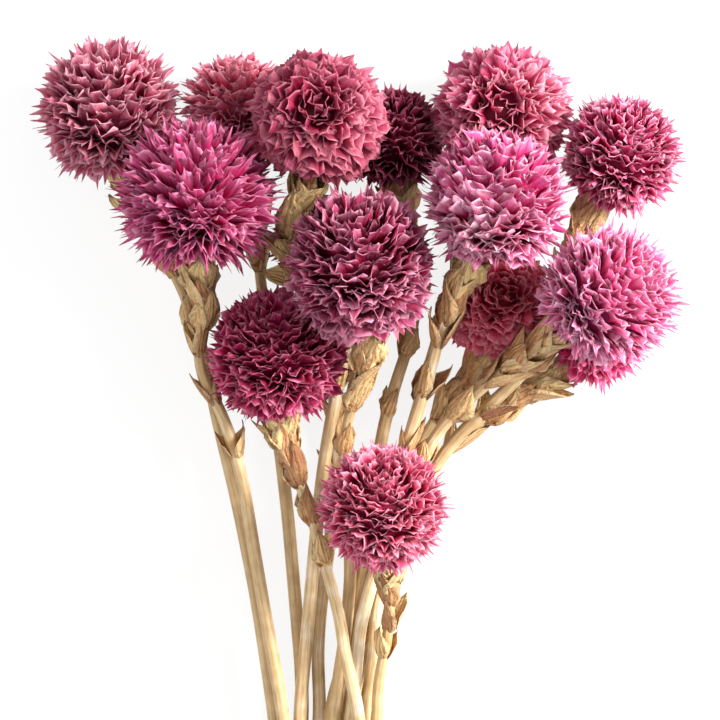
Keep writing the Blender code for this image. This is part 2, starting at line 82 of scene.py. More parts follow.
class Flower:
    def __init__(self, name, centre, radius, apex, route, stretch=1.0):
        self.name = name
        self.centre = Vector(centre) * MM
        self.radius = radius * MM
        self.apex = Vector(apex).normalized()
        self.guides = [Vector(point) * MM for point in route]
        self.stretch = stretch
        self.to_stem = (self.guides[0] - self.centre).normalized()

    def reach(self, direction):
        return self.radius * (1 + (self.stretch - 1) * direction.dot(self.apex) ** 2)

    def seat_distance(self):
        return self.reach(self.to_stem) * SEAT_SHARE

    def seed(self):
        return int(self.name)


FLOWERS = [
    Flower("01", (-58.0, 131.5, 16.5), 15.2, (-0.05, 0.78, 0.62), [
        (-51, 108, 10.5), (-48.3, 102.8, 9), (-42.5, 93.6, 7), (-39, 85, 6), (-36.6, 76.4, 5.5),
        (-33, 59, 5.5), (-28.8, 42, 6), (-24.2, 19, 6.5), (-20, -8.7, 7)]),
    Flower("02", (-37.3, 111.5, 31.0), 16.5, (0.05, 0.97, 0.15), [
        (-37, 90.5, 23), (-35.7, 88, 21.5), (-34, 81, 19), (-31, 65, 15.5), (-27, 46.5, 13),
        (-25, 32.7, 12), (-21.9, 14.3, 11), (-17.7, -8.7, 10.3)]),
    Flower("03", (-28.5, 132.7, 11.6), 12.4, (-0.05, 0.95, 0.25), [
        (-25.5, 111, 4.5), (-24.6, 108.5, 3.5), (-23.5, 94.8, 2.5), (-21.2, 76.4, 2),
        (-19, 55.7, 2), (-17, 39.6, 2.2), (-14.5, 12, 3), (-12, -8.7, 3.5)]),
    Flower("04", (-9.6, 128.8, 32.1), 14.7, (-0.03, 0.30, 0.95), [
        (-13.5, 107, 27), (-15, 104, 25), (-14.5, 95, 23.5), (-11, 86, 17), (-7, 79, 12.5),
        (-5.8, 69.5, 10.5), (-7.4, 58, 9.5), (-9, 46.5, 8.5), (-10.8, 28, 8), (-12.4, 9.7, 7.5),
        (-14.3, -8.7, 7.2)]),
    Flower("05", (7.8, 125.0, 11.2), 12.0, (0.10, 0.80, 0.55), [
        (10.5, 102, 6), (13.5, 92, 6), (13.5, 85.6, 6), (11.5, 77.5, 7), (8, 68.3, 8),
        (5, 56.8, 8.5), (2.3, 37.3, 8), (0.5, 21.2, 7.5), (-1.8, 7.4, 7), (-6.2, -8.7, 7)]),
    Flower("06", (32.8, 130.8, 15.2), 14.9, (0.0, 0.12, 0.99), [
        (30, 107, 7.5), (27, 100, 5), (21, 88, 3.5), (17.5, 77, 3.5), (14.5, 66, 3.5),
        (11.5, 55, 3.5), (8, 42, 3.5), (5, 30, 3.5), (1.5, 16, 3.5), (-3, 0, 3.6),
        (-5.6, -8.7, 3.7)]),
    Flower("07", (31.0, 110.4, 39.2), 16.1, (0.05, 0.95, 0.25), [
        (23.5, 92, 29), (21.8, 89, 27), (18.4, 79.8, 23.5), (16, 69.5, 21), (12.7, 59, 19),
        (10.4, 53.4, 17.5), (5.8, 32.7, 16), (1.4, 18.2, 15), (-1.6, 5.8, 13.5),
        (-2.8, -8.7, 12.3)]),
    Flower("08", (60.0, 121.1, 22.6), 14.0, (0.25, 0.75, 0.61), [
        (50.5, 103, 17.5), (44.5, 90, 19), (40.5, 79, 21), (34, 69, 19.5), (25, 60, 14.5),
        (18.5, 53.5, 11), (14.5, 46.5, 10), (11, 38, 9.5), (7, 25, 8.5), (3, 12, 8),
        (-1.5, -2, 7.5), (-3.7, -8.7, 7.2)]),
    Flower("09", (0.0, 95.2, 37.0), 16.0, (-0.08, 0.82, 0.56), [
        (2.3, 72, 26.5), (1.2, 70, 25), (-1.8, 65, 21), (-3.7, 58, 18.5), (-4.1, 46.5, 14),
        (-2.3, 32.7, 11), (-1.8, 19, 9.5), (-3.5, 5, 9), (-4.4, -8.7, 9.5)], stretch=1.13),
    Flower("10", (-18.9, 75.0, 20.1), 15.2, (-0.10, 0.78, 0.62), [
        (-17, 51, 14.5), (-14.6, 47, 14.5), (-11.5, 39, 14.5), (-8.5, 28, 14.5), (-4.6, 16, 14),
        (-1.6, 0.5, 13.5), (0, -8.7, 12)]),
    Flower("11", (5.3, 40.2, 34.5), 14.7, (-0.05, 0.75, 0.66), [
        (6.4, 21.2, 25), (7.4, 16.6, 21.5), (6.4, 9.7, 18.5), (4.5, 3.5, 16), (3.5, -1.8, 14.5),
        (3, -8.7, 12.5)]),
    Flower("12", (31.8, 87.0, 15.0), 12.4, (0.10, 0.30, 0.95), [
        (28, 71, 9.5), (25.3, 69.5, 8.5), (19.5, 63.7, 7.3), (15, 56.8, 7), (11.5, 49, 7),
        (8.5, 40, 7), (6, 30, 6.5), (3, 18, 5.5), (-0.3, 3, 4.5), (-1.8, -8.7, 4)]),
    Flower("13", (56.7, 88.6, 37.5), 15.4, (0.80, 0.45, 0.40), [
        (43.5, 78.5, 28), (35.6, 73, 23.5), (30, 68.3, 20.5), (23, 62.6, 17.5),
        (17.3, 56.8, 15.5), (14.3, 50, 13.5), (11.5, 42, 12.5), (8.5, 33, 11.5), (4.5, 20, 10),
        (1.5, 5, 8.5), (0, -8.7, 7.5)]),
    Flower("14", (54.8, 79.3, 10.9), 11.7, (0.45, -0.10, 0.88), [
        (44, 69, 7), (41.4, 67.2, 6.5), (32.2, 62.6, 5.5), (24.2, 58, 4.5), (18.9, 53, 3.8),
        (14.5, 46, 3.6), (10.5, 37, 3.6), (7, 25, 3.6), (3.5, 8, 3.6), (1.4, -8.7, 3.7)]),
    Flower("15", (-10.1, 101.7, 10.4), 11.0, (-0.40, 0.50, 0.75), [
        (-8.5, 86, 5), (-8, 83.3, 5), (-6.4, 67.2, 5), (-5.3, 55.7, 5), (-5.8, 42, 4.5),
        (-7.5, 28, 4.2), (-9.5, 15, 4), (-10.3, 3, 3.8), (-9.9, -8.7, 3.8)]),
]


def tie_place(name):
    for (height, names), end_height in zip(TIE_ROWS, END_ROW_HEIGHTS):
        if name in names:
            sideways = (names.index(name) - (len(names) - 1) / 2) * TIE_PITCH
            end_x = TIE_CENTRE_X + sideways * END_SPREAD
            return (TIE_CENTRE_X + sideways, height), (end_x, end_height)
    raise ValueError(f"straw {name} has no place in the tie")


def clear_radius(below_neck):
    fade = np.clip((LEAFY_LENGTH - below_neck) / (LEAFY_FADE * LEAFY_LENGTH), 0, 1)
    return STEM_RADIUS + fade * (LEAFY_ROOM - STEM_RADIUS)


def settled_routes():
    necks, firsts, rows = [], [], []
    for flower in FLOWERS:
        seat = flower.seat_distance() + SEAT_GAP
        necks.append(flower.centre + flower.to_stem * seat)
        firsts.append(flower.centre + flower.to_stem * (seat + NECK_STRAIGHT))
    levels = np.arange(max(p.y for p in firsts), END_Y - LEVEL_STEP / 2, -LEVEL_STEP)
    for flower, neck, first in zip(FLOWERS, necks, firsts):
        (tie_x, tie_z), (end_x, end_z) = tie_place(flower.name)
        line = [neck, first, *flower.guides]
        line += [Vector((tie_x, TIE_Y + side * TIE_STRAIGHT, tie_z)) for side in (1, -1)]
        line += [Vector((end_x, END_Y, end_z))]
        line = np.array(line)[::-1]
        rows.append([np.interp(levels, line[:, 1], line[:, axis]) for axis in (0, 2)])
    guide = np.array(rows).transpose(2, 0, 1)
    below = np.array([f.y for f in firsts])[None, :] - levels[:, None]
    grown = below >= 0
    free = grown & (np.abs(levels - TIE_Y) > TIE_STRAIGHT + LEVEL_STEP)[:, None]
    top = grown & ~np.roll(grown, 1, axis=0)
    inner = free & ~top
    inner[-1] = False
    for _ in range(GUIDE_SMOOTHING):
        mean = guide.copy()
        mean[1:-1] = (guide[:-2] + guide[2:]) / 2
        guide += (mean - guide) * 0.5 * inner[:, :, None]
    place = guide.copy()
    room = clear_radius(below)
    centres = np.array([f.centre for f in FLOWERS])
    head_radii = np.array([f.radius * max(1, f.stretch) for f in FLOWERS])
    own = np.eye(len(FLOWERS), dtype=bool)[None]
    both = grown[:, :, None] & grown[:, None, :] & ~own

    for step in range(SETTLING_STEPS):
        ease = 1 if step < SETTLING_STEPS * GENTLE_FROM else GENTLE
        strayed = place - guide
        mean = strayed.copy()
        mean[1:-1] = (strayed[:-2] + strayed[2:]) / 2
        moved = (mean - strayed) * STIFFNESS - strayed * GUIDE_PULL
        place += moved * inner[:, :, None] * ease

        slope = np.gradient(place[:, :, 0], axis=0) / LEVEL_STEP
        slant = np.sqrt(1 + np.maximum(np.abs(slope)[:, :, None], np.abs(slope)[:, None, :]) ** 2)
        apart = place[:, :, None, :] - place[:, None, :, :]
        distance = np.linalg.norm(apart, axis=3) + NEVER_ZERO
        wanted = room[:, :, None] + room[:, None, :] + STEM_CLEARANCE
        short = wanted * np.minimum(slant, SLANT_LIMIT) - distance
        push = np.where(both, np.clip(short, 0, None), 0) * STRAW_PUSH
        place += (apart / distance[..., None] * push[..., None]).sum(axis=2) * inner[:, :, None]

        keep = head_radii[None, None, :] + room[:, :, None] + STEM_CLEARANCE
        chord = keep**2 - (levels[:, None, None] - centres[None, None, :, 1]) ** 2
        apart = place[:, :, None, :] - centres[None, None, :, [0, 2]]
        distance = np.linalg.norm(apart, axis=3) + NEVER_ZERO
        short = np.sqrt(np.clip(chord, 0, None)) - distance
        push = np.where(grown[:, :, None] & ~own, np.clip(short, 0, None), 0) * HEAD_PUSH
        place += (apart / distance[..., None] * push[..., None]).sum(axis=2) * inner[:, :, None]
        place[:, :, 1] = np.maximum(place[:, :, 1], room)

    routes = {}
    for index, (flower, neck) in enumerate(zip(FLOWERS, necks)):
        uneven = random.Random(flower.seed()).uniform(0, END_UNEVENNESS)
        used = grown[:, index] & (levels > END_Y + uneven)
        line = [neck, firsts[index]]
        line += [Vector((x, y, z)) for (x, z), y in zip(place[used, index], levels[used])][1:]
        routes[flower.name] = line
    return routes


class Line:
    """A smooth curve through a route's points, measured in metres from its first point."""

    def __init__(self, route):
        self.points = np.array(route)
        steps = np.linalg.norm(np.diff(self.points, axis=0), axis=1)
        self.run = np.concatenate([[0], np.cumsum(steps)])
        self.slopes = np.gradient(self.points, self.run, axis=0)
        self.length = self.run[-1]

    def at(self, distance):
        index = min(int(np.searchsorted(self.run, distance, side="right")) - 1, len(self.run) - 2)
        span = self.run[index + 1] - self.run[index]
        t = (distance - self.run[index]) / span
        return Vector(
            self.points[index] * (2 * t**3 - 3 * t**2 + 1)
            + self.slopes[index] * span * (t**3 - 2 * t**2 + t)
            + self.points[index + 1] * (3 * t**2 - 2 * t**3)
            + self.slopes[index + 1] * span * (t**3 - t**2))

    def heading(self, distance):
        """Towards the head."""
        step = 0.5 * MM
        low, high = max(0, distance - step), min(self.length, distance + step)
        return (self.at(low) - self.at(high)).normalized()


def straw_radius(distance):
    share = min(1, distance / NECK_LENGTH)
    return NECK_RADIUS + (STEM_RADIUS - NECK_RADIUS) * share


def rgb(code):
    """A colour as seen, such as "c8b080", in the linear values that a shader takes."""
    parts = [int(code[i:i + 2], 16) / 255 for i in (0, 2, 4)]
    return tuple(p / 12.92 if p <= 0.04045 else ((p + 0.055) / 1.055) ** 2.4 for p in parts) + (1,)


def add_node(tree, kind, values=None, **settings):
    made = tree.nodes.new(kind)
    for key, value in settings.items():
        setattr(made, key, value)
    for key, value in (values or {}).items():
        if isinstance(value, bpy.types.NodeSocket):
            tree.links.new(value, made.inputs[key])
        else:
            made.inputs[key].default_value = value
    return made


def math_node(tree, operation, *values):
    return add_node(tree, "ShaderNodeMath", dict(enumerate(values)), operation=operation).outputs[0]


def times(tree, first, second):
    return math_node(tree, "MULTIPLY", first, second)


def plus(tree, first, second):
    return math_node(tree, "ADD", first, second)


def between(tree, value, low, high, to_low=0.0, to_high=1.0):
    made = add_node(tree, "ShaderNodeMapRange", {
        "Value": value, "From Min": low, "From Max": high, "To Min": to_low, "To Max": to_high,
    }, interpolation_type="SMOOTHSTEP")
    return made.outputs["Result"]


# A mix node's sockets for colours: its factor, the two colours and the result.
MIX_INPUTS = (0, 6, 7)
MIX_RESULT = 2


def mix_colours(tree, factor, first, second):
    made = add_node(tree, "ShaderNodeMix", dict(zip(MIX_INPUTS, (factor, first, second))), data_type="RGBA")
    return made.outputs[MIX_RESULT]


def colour_ramp(tree, value, stops):
    made = add_node(tree, "ShaderNodeValToRGB", {"Fac": value})
    elements = made.color_ramp.elements
    while len(elements) < len(stops):
        elements.new(0.5)
    for element, (place, colour) in zip(elements, stops):
        element.position = place
        element.color = colour
    return made.outputs["Color"]


def dry_fibres():
    """Lengthwise plant fibres: fine streaks and broad faded patches, from a piece's grain."""
    group = bpy.data.node_groups.new("dry_fibres", "ShaderNodeTree")
    group.interface.new_socket("Grain", in_out="INPUT", socket_type="NodeSocketVector")
    for name in ("Streaks", "Patches", "Crumple"):
        group.interface.new_socket(name, in_out="OUTPUT", socket_type="NodeSocketFloat")
    grain = add_node(group, "NodeGroupInput").outputs["Grain"]
    stretched = add_node(group, "ShaderNodeMapping", {"Vector": grain, "Scale": (3.2, 0.22, 1)})
    streaks = add_node(group, "ShaderNodeTexNoise", {
        "Vector": stretched.outputs[0], "Scale": 1.0, "Detail": 3.0, "Roughness": 0.6})
    patches = add_node(group, "ShaderNodeTexNoise", {"Vector": grain, "Scale": 0.16, "Detail": 2.0})
    crumple = add_node(group, "ShaderNodeTexNoise", {
        "Vector": grain, "Scale": 0.75, "Detail": 3.0, "Distortion": 0.8})
    ends = add_node(group, "NodeGroupOutput")
    for name, noise in (("Streaks", streaks), ("Patches", patches), ("Crumple", crumple)):
        group.links.new(noise.outputs["Fac"], ends.inputs[name])
    return group


FIBRES = dry_fibres()


def new_material(name):
    made = bpy.data.materials.new(name)
    made.use_nodes = True
    tree = made.node_tree
    grain = add_node(tree, "ShaderNodeAttribute", attribute_name="grain")
    fibres = add_node(tree, "ShaderNodeGroup", {"Grain": grain.outputs["Vector"]}, node_tree=FIBRES)
    return made, tree, tree.nodes["Principled BSDF"], fibres.outputs


def painted(tree, name):
    """The value that each point of a piece carries under this name."""
    return add_node(tree, "ShaderNodeAttribute", attribute_name=name).outputs["Fac"]


def scale_map(tree):
    """A point's place on its scale or leaf: across it, along it, and how far from its middle line."""
    place = add_node(tree, "ShaderNodeUVMap", uv_map="scale")
    split = add_node(tree, "ShaderNodeSeparateXYZ", {"Vector": place.outputs["UV"]})
    u, v = split.outputs["X"], split.outputs["Y"]
    off_middle = times(tree, math_node(tree, "SUBTRACT", u, 0.5), 2.0)
    return u, v, math_node(tree, "ABSOLUTE", off_middle)


def dress(tree, shader, colour, roughness, height, strength, depth):
    """Give a skin its colour, its roughness and its relief. Returns the relief."""
    relief = add_node(tree, "ShaderNodeBump", {"Height": height, "Strength": strength, "Distance": depth})
    tree.links.new(colour, shader.inputs["Base Color"])
    tree.links.new(relief.outputs[0], shader.inputs["Normal"])
    tree.links.new(roughness, shader.inputs["Roughness"])
    return relief.outputs[0]


def let_light_through(tree, shader, colour, relief, share):
    """Mix in the light that comes through a thin dry scale or leaf, by this share."""
    glow = add_node(tree, "ShaderNodeBsdfTranslucent", {"Color": colour, "Normal": relief})
    thin = add_node(tree, "ShaderNodeMixShader", {0: share, 1: shader.outputs[0], 2: glow.outputs[0]})
    tree.links.new(thin.outputs[0], tree.nodes["Material Output"].inputs["Surface"])


def straw_skin():
    """Dry stalk: straw yellow, browner in patches and at its joints, with painted shade down its grooves.
    """
    made, tree, shader, fibres = new_material("straw_skin")
    body = colour_ramp(tree, plus(tree, painted(tree, "tone"), fibres["Patches"]), [
        (0.35, rgb("aa8c60")), (0.58, rgb("c0a274")), (0.80, rgb("d2b68a")), (1.0, rgb("e2d2b6"))])
    lines = between(tree, fibres["Streaks"], 0.30, 0.52, 0.5, 0.0)
    body = mix_colours(tree, lines, body, rgb("86694a"))
    # Painted shade in the grooves: the deeper a point lies in a groove, the darker it is.
    groove_shade = between(tree, painted(tree, "groove"), 0.45, 1.0, 0.0, 0.35)
    body = mix_colours(tree, groove_shade, body, rgb("8a6e48"))
    joints = between(tree, painted(tree, "joint"), 0.2, 1.0, 0.0, 0.6)
    body = mix_colours(tree, joints, body, rgb("a5742f"))
    roughness = between(tree, fibres["Streaks"], 0.3, 0.7, 0.42, 0.66)
    dress(tree, shader, body, roughness, fibres["Streaks"], 0.35, 0.25 * MM)
    return made


def set_attribute(mesh, name, values):
    """Give each point of a mesh a number, or a row of three where the values come in rows."""
    kind, part = ("FLOAT", "value") if values.ndim == 1 else ("FLOAT_VECTOR", "vector")
    made = mesh.attributes.new(name, kind, "POINT")
    made.data.foreach_set(part, values.ravel().astype(np.float32))


def select_only(*pieces):
    """Select these pieces and no other. The first is the active one."""
    bpy.ops.object.select_all(action="DESELECT")
    for piece in pieces:
        piece.select_set(True)
    bpy.context.view_layer.objects.active = pieces[0]


def tube_curve(name, radius, resolution):
    made = bpy.data.curves.new(name, "CURVE")
    made.dimensions = "3D"
    made.bevel_depth = radius
    made.bevel_resolution = resolution
    made.use_fill_caps = True
    return made


def mesh_from(name, curve):
    """A curve made a mesh piece, which stays selected."""
    made = bpy.data.objects.new(name, curve)
    bpy.context.scene.collection.objects.link(made)
    select_only(made)
    bpy.ops.object.convert(target="MESH")
    return bpy.context.object


STRAW_SIDES = 28
STRAW_STEP = 2 * MM
STRAW_RIBS = 7
RIB_DEPTH = 0.03
RIB_WAVER = 0.8
WANDER = 0.03
WANDER_LENGTH = 31 * MM
JOINT_SWELL = 0.14
JOINT_HALF_LENGTH = 1.8 * MM
# How thick a straw is, in shares of its radius in the solids, at these millimetres from its head.
TAPER_PLACES = (20, 150)
TAPER = (0.88, 0.97)
# The straw's joints are numbered like rings that crowd together towards the head.
UPPER_RINGS = 11
RING_CROWDING = 1.35
NODE_RINGS = (1.3, 2, 2.5, 3, 4, 5)
STRAW_TONES = (0.0, 0.4)
WAVE_STARTS = (0, 6)
GRAIN_RADIUS = 1.6
GRAIN_PER_STRAW = 7.3
STRAW_SEED = 500
STRAW_SKIN = straw_skin()
LINES = {name: Line(route) for name, route in settled_routes().items()}

for flower in FLOWERS:
    line = LINES[flower.name]
    chance = random.Random(STRAW_SEED + flower.seed())
    distances = np.linspace(0, line.length, int(line.length / STRAW_STEP) + 1)
    above = float(np.interp(-TIE_Y - TIE_STRAIGHT, -line.points[:, 1], line.run))
    line.nodes = [above * (ring / UPPER_RINGS) ** RING_CROWDING for ring in NODE_RINGS]
    curve = tube_curve("straw", 1, (STRAW_SIDES - 4) // 2)
    spline = curve.splines.new("POLY")
    spline.points.add(len(distances) - 1)
    for point, distance in zip(spline.points, distances):
        point.co = (*line.at(distance), 1)
        point.radius = straw_radius(distance)
    straw = mesh_from(f"straw_{flower.name}", curve)
    mesh = straw.data

    where = np.array([vert.co[:] for vert in mesh.vertices])
    count = len(distances) * STRAW_SIDES
    rings = where[:count].reshape(len(distances), STRAW_SIDES, 3)
    middle = rings.mean(axis=1, keepdims=True)
    turn = np.arange(STRAW_SIDES) / STRAW_SIDES * 2 * math.pi
    rib = np.cos(turn * STRAW_RIBS + RIB_WAVER * np.sin(turn + chance.uniform(*WAVE_STARTS)))[None, :]
    joint = sum(np.exp(-((distances - d) / JOINT_HALF_LENGTH) ** 2) for d in line.nodes)
    taper = np.interp(distances / MM, TAPER_PLACES, TAPER)[:, None]
    swell = taper + RIB_DEPTH * rib + JOINT_SWELL * joint[:, None]
    wave = distances[:, None] / WANDER_LENGTH + turn[None, :] + chance.uniform(*WAVE_STARTS)
    wander = 1 + WANDER * np.sin(wave)
    rings = middle + (rings - middle) * (swell * wander)[:, :, None]
    where[:count] = rings.reshape(-1, 3)
    mesh.vertices.foreach_set("co", where.astype(np.float32).ravel())
    extra = len(where) - count
    grain = np.zeros((len(distances), STRAW_SIDES, 3))
    grain[:, :, 0] = np.cos(turn)[None, :] * GRAIN_RADIUS
    grain[:, :, 1] = distances[:, None] / MM
    grain[:, :, 2] = np.sin(turn)[None, :] * GRAIN_RADIUS + flower.seed() * GRAIN_PER_STRAW
    set_attribute(mesh, "grain", np.pad(grain.reshape(-1, 3), ((0, extra), (0, 0))))
    # How deep in a groove each point lies, where the straw skin paints shade.
    groove = np.repeat((1 - rib) / 2, len(distances), axis=0).ravel()
    set_attribute(mesh, "groove", np.pad(groove, (0, extra)))
    set_attribute(mesh, "joint", np.pad(np.repeat(joint, STRAW_SIDES), (0, extra)))
    set_attribute(mesh, "tone", np.full(len(where), chance.uniform(*STRAW_TONES)))
    bpy.ops.object.shade_smooth()
    mesh.materials.clear()
    mesh.materials.append(STRAW_SKIN)
    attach(straw, "root")
    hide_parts(f"stem_{flower.name}")

# The flower heads: each a globe of dry papery scales, boat shaped, that overlap upwards like tiles
# round the flower's tip. Each scale has a pale thin wavy rim, and most end in a fine stiff point.
# They grow from a core that fills the middle of the head, painted dark as the shade within it.
SAME_PLACE = 0.01
LIFT_POWER = 1.5
RIPPLES = 5.5
LEAST_BEND = 0.02


def scale_template(name, rows, columns):
    """One scale, flat to start with: its columns are moved in and bent down, and its rows are
    widened and moved along. It has a width of 2 and a length of 1, and is bent to its place later."""
    bpy.ops.object.select_all(action="DESELECT")
    bpy.ops.mesh.primitive_grid_add(x_subdivisions=len(columns) - 1, y_subdivisions=len(rows) - 1, size=2)
    made = bpy.context.object
    made.name = name
    bpy.ops.object.mode_set(mode="EDIT")
    start = {v.index: tuple(v.co) for v in bmesh.from_edit_mesh(made.data).verts}

    def select(axis, place):
        bpy.ops.mesh.select_all(action="DESELECT")
        mesh = bmesh.from_edit_mesh(made.data)
        for vert in mesh.verts:
            vert.select_set(abs(start[vert.index][axis] - place) < SAME_PLACE)
        mesh.select_flush_mode()
        bmesh.update_edit_mesh(made.data)

    for index, (across, lift) in enumerate(columns):
        place = -1 + 2 * index / (len(columns) - 1)
        select(0, place)
        bpy.ops.transform.translate(value=(across - place, 0, lift))
    for index, (along, width) in enumerate(rows):
        place = -1 + 2 * index / (len(rows) - 1)
        select(1, place)
        bpy.ops.transform.resize(value=(width, 1, width ** LIFT_POWER), center_override=(0, 0, 0))
        bpy.ops.transform.translate(value=(0, along - place, 0))
    bpy.ops.object.mode_set(mode="OBJECT")
    return made


def read_template(made, thickness):
    """The template's points, its faces, its map, and which points are on its inner side."""
    outer = len(made.data.vertices)
    wall = made.modifiers.new("wall", "SOLIDIFY")
    wall.thickness = thickness
    wall.offset = -1
    bpy.context.view_layer.objects.active = made
    bpy.ops.object.modifier_apply(modifier=wall.name)
    mesh = made.data
    points = np.array([v.co[:] for v in mesh.vertices])
    faces = [list(p.vertices) for p in mesh.polygons]
    uvs = np.array([d.uv[:] for d in mesh.uv_layers[0].data])
    inner = (np.arange(len(points)) >= outer).astype(float)
    bpy.data.objects.remove(made)
    return points, faces, uvs, inner


def bent_scales(points, root, out, along, length, width, start, bend, cup, ripple, phase, twist, fray, rim):
    """Copies of a template, each bent from its root: it leans from `out` towards `along` by the
    start angle, and its lean changes by the bend angle up to its tip. One row for each copy. Its rim
    is how far each of its columns reaches."""
    x, v, z = points[:, 0][None], points[:, 1][None], points[:, 2][None]
    half = len(points) // 2
    wave = ripple[:, None] * v**2 * np.sin(phase[:, None] + RIPPLES * x)
    fray = np.tile(fray[:, :half], (1, 2))
    x = x * (1 + fray)
    v = v * np.tile(rim, (1, len(points) // rim.shape[1]))
    side = np.cross(out, along)
    length, width, start, bend, cup, twist = (
        np.asarray(values, float)[:, None] for values in (length, width, start, bend, cup, twist))
    bend = np.where(np.abs(bend) < LEAST_BEND, LEAST_BEND, bend)
    angle = start + bend * v
    rise = length * (np.sin(angle) - np.sin(start)) / bend
    reach = length * (np.cos(start) - np.cos(angle)) / bend
    across = x * width
    depth = z * width * cup + wave * width
    turned = twist * v
    across, depth = (across * np.cos(turned) - depth * np.sin(turned),
                     across * np.sin(turned) + depth * np.cos(turned))
    rise = rise + depth * np.sin(angle)
    reach = reach - depth * np.cos(angle)
    return (root[:, None, :] + out[:, None, :] * rise[:, :, None]
            + along[:, None, :] * reach[:, :, None] + side[:, None, :] * across[:, :, None])


def join_scales(name, places, faces, uvs, shades):
    """One mesh from many copies of a template. Each shade is a value for each copy's points."""
    copies, size, _ = places.shape
    corners = np.array([corner for face in faces for corner in face])
    sizes = np.array([len(face) for face in faces])
    mesh = bpy.data.meshes.new(name)
    mesh.vertices.add(copies * size)
    mesh.vertices.foreach_set("co", places.astype(np.float32).ravel())
    loops = (corners[None, :] + np.arange(copies)[:, None] * size).ravel()
    mesh.loops.add(len(loops))
    mesh.loops.foreach_set("vertex_index", loops.astype(np.int32))
    starts = np.concatenate([[0], np.cumsum(np.tile(sizes, copies))[:-1]])
    mesh.polygons.add(len(starts))
    mesh.polygons.foreach_set("loop_start", starts.astype(np.int32))
    mesh.polygons.foreach_set("use_smooth", np.ones(len(starts), bool))
    layer = mesh.uv_layers.new(name="scale")
    layer.data.foreach_set("uv", np.tile(uvs, (copies, 1)).astype(np.float32).ravel())
    for key, values in shades.items():
        set_attribute(mesh, key, values.reshape(copies * size, -1).squeeze())
    mesh.update()
    mesh.validate()
    made = bpy.data.objects.new(name, mesh)
    bpy.context.scene.collection.objects.link(made)
    return made


# Shares of a head's deep colour for the painted shade at the roots of its scales and on its core: the
# darker share at the very root, a lighter one a little further out.
ROOT_SHADES = (0.42, 0.78)


def bract_paper(name, deep, body, pale, crown):
    """Dry bract: painted shade at its root and low inside its cup, its deep colour low down, full colour in
    the middle, faded along its rim and tip.
    """
    made, tree, shader, fibres = new_material(name)
    _, v, across = scale_map(tree)
    along = plus(tree, v, math_node(tree, "MULTIPLY_ADD", fibres["Streaks"], 0.30, -0.15))
    # Painted shade: from the root the colour starts dark and lightens to the deep colour and then to the
    # head's own colour, so the depths between the scales look shaded.
    root_shade, half_shade = (tuple(share * part for part in rgb(deep)[:3]) + (1,) for share in ROOT_SHADES)
    colour = colour_ramp(tree, along, [(0.0, root_shade), (0.14, half_shade), (0.36, rgb(deep)), (0.68, rgb(body))])
    faded = mix_colours(tree, painted(tree, "tone"), rgb(body), rgb(pale))
    tip = times(tree, between(tree, along, 0.45, 0.90), 0.60)
    colour = mix_colours(tree, tip, colour, faded)
    top = times(tree, painted(tree, "crown"), between(tree, along, 0.35, 0.75))
    colour = mix_colours(tree, top, colour, rgb(crown))
    veins = between(tree, fibres["Streaks"], 0.34, 0.58, 0.4, 0.0)
    colour = mix_colours(tree, veins, colour, rgb(deep))
    # Painted shade inside the cup: low on each scale's inner side the colour darkens towards its deep
    # colour.
    low = between(tree, along, 0.85, 0.45, 0.0, 0.55)
    hollow_shade = times(tree, painted(tree, "inner"), low)
    colour = mix_colours(tree, hollow_shade, colour, rgb(deep))
    side = times(tree, across, between(tree, v, 0.2, 0.6))
    crumple = math_node(tree, "MULTIPLY_ADD", fibres["Crumple"], 0.3, -0.15)
    edge = plus(tree, math_node(tree, "MAXIMUM", v, side), crumple)
    colour = mix_colours(tree, between(tree, edge, 0.84, 1.0, 0.0, 0.75), colour, rgb(pale))
    middle = between(tree, across, 0.30, 0.08, 0.0, 0.8)
    awn = times(tree, between(tree, v, 0.80, 0.95), middle)
    colour = mix_colours(tree, awn, colour, rgb(deep))

    height = plus(tree, fibres["Streaks"], times(tree, fibres["Crumple"], 1.2))
    roughness = between(tree, fibres["Streaks"], 0.3, 0.7, 0.36, 0.58)
    relief = dress(tree, shader, colour, roughness, height, 0.6, 0.35 * MM)
    shader.inputs["Specular IOR Level"].default_value = 0.20
    let_light_through(tree, shader, colour, relief, 0.52)
    return made


# Each row of a bract: how far along it is, and its width. Each column: its place and its lift.
BRACT_ROWS = ((0.0, 0.50), (0.26, 0.80), (0.50, 1.0), (0.72, 1.0), (0.88, 0.92), (1.0, 0.84))
BRACT_COLUMNS = (
    (-1, -0.62), (-0.55, -0.42), (-0.15, -0.10), (0, 0), (0.15, -0.10), (0.55, -0.42), (1, -0.62))
BRACT_WALL = 0.03
BRACT = read_template(scale_template("bract", BRACT_ROWS, BRACT_COLUMNS), BRACT_WALL)
BRACT_HALF_WIDTH = 2.5 * MM
BRACT_SEED = 700

# A head of the common radius and a fineness of 1 starts with this many bracts. Their roots stand at
# a share of the radius, inside the core. None is left within so many degrees of the straw.
BRACTS_ON_GLOBE = 380
COMMON_RADIUS = 15 * MM
COUNT_POWER = 1.2
SIZE_POWER = 0.4
ROOT_SHARE = 0.60
CORE_SHARE = 0.70
CORE_STRAY = (-0.04, 0.02)
STRAW_ROOM = 27
FLOOR_ROOM = 0.12 * MM
GOLDEN_ANGLE = math.pi * (3 - math.sqrt(5))
POLAR_LIMITS = (0.02, 3.1)
LAST_POLAR = 3.05
TIP_SPREAD = 0.45
TIP_DIP = 0.07
LONGEST = 1.02
SHORTFALL = 0.20
FADED_SPREAD = 0.8
FLATTENING = 40

# How much chance moves a scale's place and leans it, in radians.
PLACE_STRAY = 0.035
ROOT_STRAY = 0.12
END_STRAY = 0.22
SIDE_STRAY = 0.12
SIDE_STRAY_AT_TIP = 0.4

